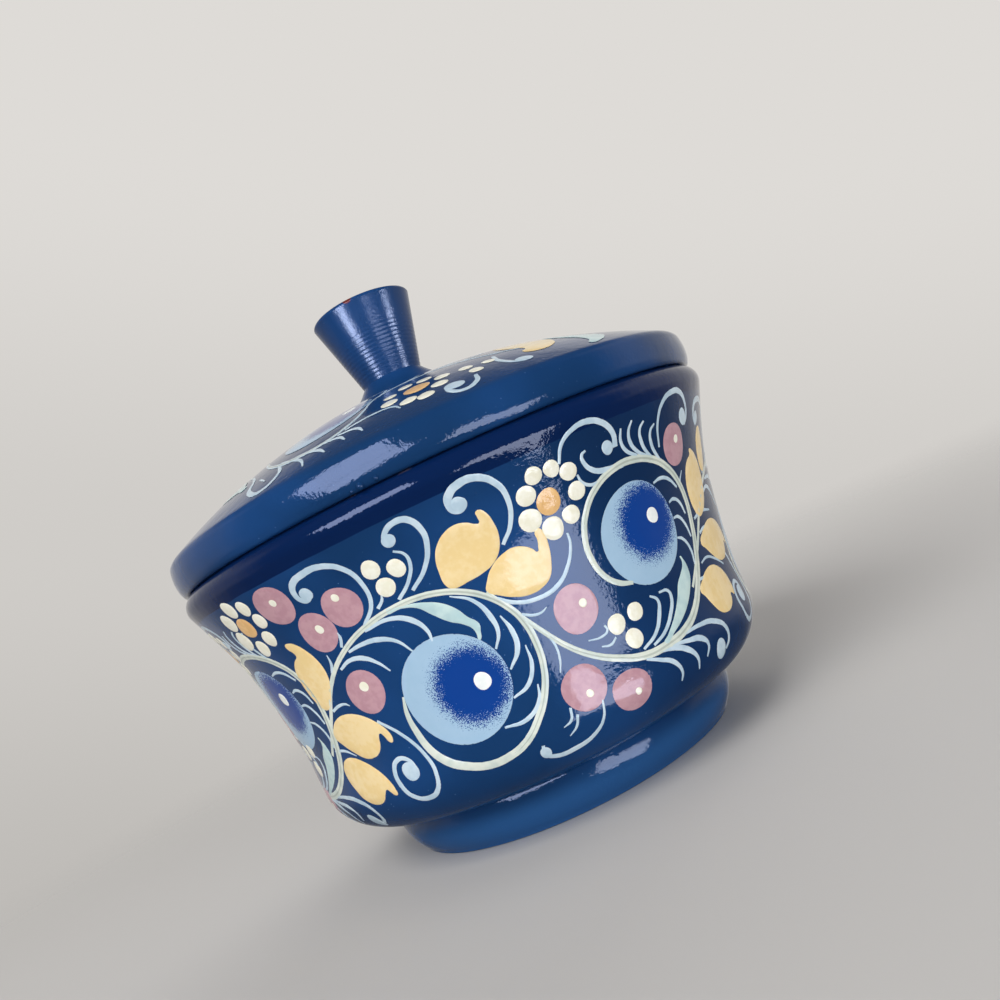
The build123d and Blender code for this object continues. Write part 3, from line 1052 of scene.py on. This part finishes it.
paintGroup("bowl_low", lowGroup, girthPlan, girthLay, "bowl")
paintGroup("bowl_fill", leftFill, girthPlan, girthLay, "bowl")
paintGroup("bowl_high", highGroup, girthPlan, girthLay, "bowl")
paintGroup("bowl_right", rightFill, girthPlan, girthLay, "bowl")
paintGroup("lid", domeGroup, flatPlan, domeLay, "lid")


# Stage

stage = {
    "aim": (0, 0, 0.04),
    "low": colour("BEBBB7"),   # the wall behind darkens downwards, as the tilted camera sees it
    "middle": colour("CFCCC8"),
    "high": colour("DEDBD7"),
    "wallSlope": (0.43, 0.9),  # how much across and up count towards that
    "lowSpan": (-0.35, 0.02),
    "highSpan": (0, 0.4),
    "room": colour("5C5E64"),  # the dim ceiling, the dim side in front and the dark below the table
    "ceilingSpan": (0.45, 0.7),
    "frontSpan": (-0.25, 0.1),
    "belowSpan": (-0.4, -0.1),
    "floorPaper": colour("D4D1CD"),
    "floorRadius": 0.6,
    "floorInset": 0.2,
    "floorFade": (0.055, 0.30),
    "floorRoughness": 0.9,
}

bpy.ops.object.select_all(action="DESELECT")
bpy.ops.mesh.primitive_circle_add(vertices=96, radius=stage["floorRadius"], fill_type="NGON")
floor = bpy.context.object
floor.name = "floor"
bpy.ops.object.mode_set(mode="EDIT")
bpy.ops.mesh.inset(thickness=stage["floorInset"])
bpy.ops.mesh.inset(thickness=stage["floorInset"])
bpy.ops.object.mode_set(mode="OBJECT")
floorPaint = bpy.data.materials.new("floor_paper")
floorPaint.use_nodes = True
floorKit = NodeKit(floorPaint.node_tree)
fromCentre = floorKit.node("ShaderNodeVectorMath", {"operation": "LENGTH"},
                           {0: floorKit.place()}, output="Value")
surface = floorPaint.node_tree.nodes["Principled BSDF"]
surface.inputs["Base Color"].default_value = stage["floorPaper"]
surface.inputs["Roughness"].default_value = stage["floorRoughness"]
surface.inputs["Specular IOR Level"].default_value = 0
fade = floorKit.ease(fromCentre, *stage["floorFade"], 1, 0)
floorPaint.node_tree.links.new(fade.socket, surface.inputs["Alpha"])
floor.data.materials.append(floorPaint)
floor.visible_glossy = False

world = bpy.data.worlds.new("studio")
bpy.context.scene.world = world
world.use_nodes = True
worldKit = NodeKit(world.node_tree)
ray = worldKit.node("ShaderNodeTexCoord", output="Generated")
x, y, z = [worldKit.axis(name, ray) for name in "XYZ"]
across, up = stage["wallSlope"]
height = x * across + z * up
wall = worldKit.blendColours(worldKit.ease(height, *stage["lowSpan"]), stage["low"], stage["middle"])
wall = worldKit.blendColours(worldKit.ease(height, *stage["highSpan"]), wall, stage["high"])
ceiling = worldKit.ease(z, *stage["ceilingSpan"])
front = worldKit.ease(y, *stage["frontSpan"], 1, 0)
below = worldKit.ease(z, *stage["belowSpan"], 1, 0)
dim = worldKit.calc("MAXIMUM", worldKit.calc("MAXIMUM", ceiling, front), below)
atCamera = worldKit.node("ShaderNodeLightPath", output="Is Camera Ray")
room = worldKit.blendColours(dim * (1 - atCamera), wall, stage["room"])
world.node_tree.links.new(room.socket, world.node_tree.nodes["Background"].inputs["Color"])

lamps = {  # "at" is azimuth, elevation and distance from the aim, and azimuth 0 is the camera's side
    "key": {"at": (-35, 45, 0.9), "size": (0.6, 0.6), "power": 4.9},
    "fill": {"at": (10, 3, 0.9), "size": (0.9, 0.5), "power": 6.0},
    "back": {"at": (155, 40, 0.9), "size": (0.6, 0.6), "power": 2.0},
    "left_window": {"at": (-29.5, 12.2, 0.9), "size": (0.62, 0.38), "power": 14.6,
                    "tint": "C4D4FF", "turn": 20, "gloss": True},
    "left_sill": {"at": (-23.4, -4.6, 0.9), "size": (0.62, 0.18), "power": 6.9,
                  "tint": "C4D4FF", "turn": 20, "gloss": True, "only": lidPiece},
    "right_window": {"at": (28, -22, 0.6), "size": (0.37, 0.22), "power": 4.2,
                     "tint": "CCD6F0", "turn": -15, "gloss": True},
    "knob_left": {"at": (-40, -4, 0.25), "size": (0.08, 0.05), "power": 0.7,
                  "tint": "D5E2FF", "gloss": True, "only": knobPiece},
    "knob_right": {"at": (67, -6, 0.25), "size": (0.06, 0.05), "power": 0.5,
                   "tint": "D5E2FF", "gloss": True, "only": knobPiece},
}


def addLamp(name, at, size, power, tint="FFFFFF", turn=0, gloss=False, only=None):
    light = bpy.data.lights.new(name, "AREA")
    light.shape = "RECTANGLE"
    light.size, light.size_y = size
    light.energy = power
    light.color = colour(tint)[:3]
    azimuth, elevation = math.radians(at[0]), math.radians(at[1])
    flat = math.cos(elevation)
    away = Vector((math.sin(azimuth) * flat, -math.cos(azimuth) * flat, math.sin(elevation)))
    place = Vector(stage["aim"]) + away * at[2]
    aim = (Vector(stage["aim"]) - place).to_track_quat("-Z", "Y")
    holder = bpy.data.objects.new(name, light)
    bpy.context.collection.objects.link(holder)
    holder.location = place
    holder.rotation_euler = (aim @ Quaternion((0, 0, 1), math.radians(turn))).to_euler()
    holder.visible_camera = False
    holder.visible_glossy = gloss       # a gloss lamp only makes highlights, the others only light
    holder.visible_diffuse = not gloss
    if only:
        holder.light_linking.receiver_collection = bpy.data.collections.new(name + "_receivers")
        holder.light_linking.receiver_collection.objects.link(only)


for name, values in lamps.items():
    addLamp(name, **values)

camera = {
    "place": (0, -0.1472, 0.0358),
    "angles": (93.135, 25.363, -1.510),
    "lens": 32.81,
    "sensor": 36,
    "clip": (0.01, 20),
}
cameraData = bpy.data.cameras.new("camera")
cameraData.lens = camera["lens"]
cameraData.sensor_width = camera["sensor"]
cameraData.clip_start, cameraData.clip_end = camera["clip"]
cameraHolder = bpy.data.objects.new("camera", cameraData)
bpy.context.collection.objects.link(cameraHolder)
cameraHolder.location = camera["place"]
cameraHolder.rotation_euler = [math.radians(angle) for angle in camera["angles"]]
bpy.context.scene.camera = cameraHolder
print("stage set")
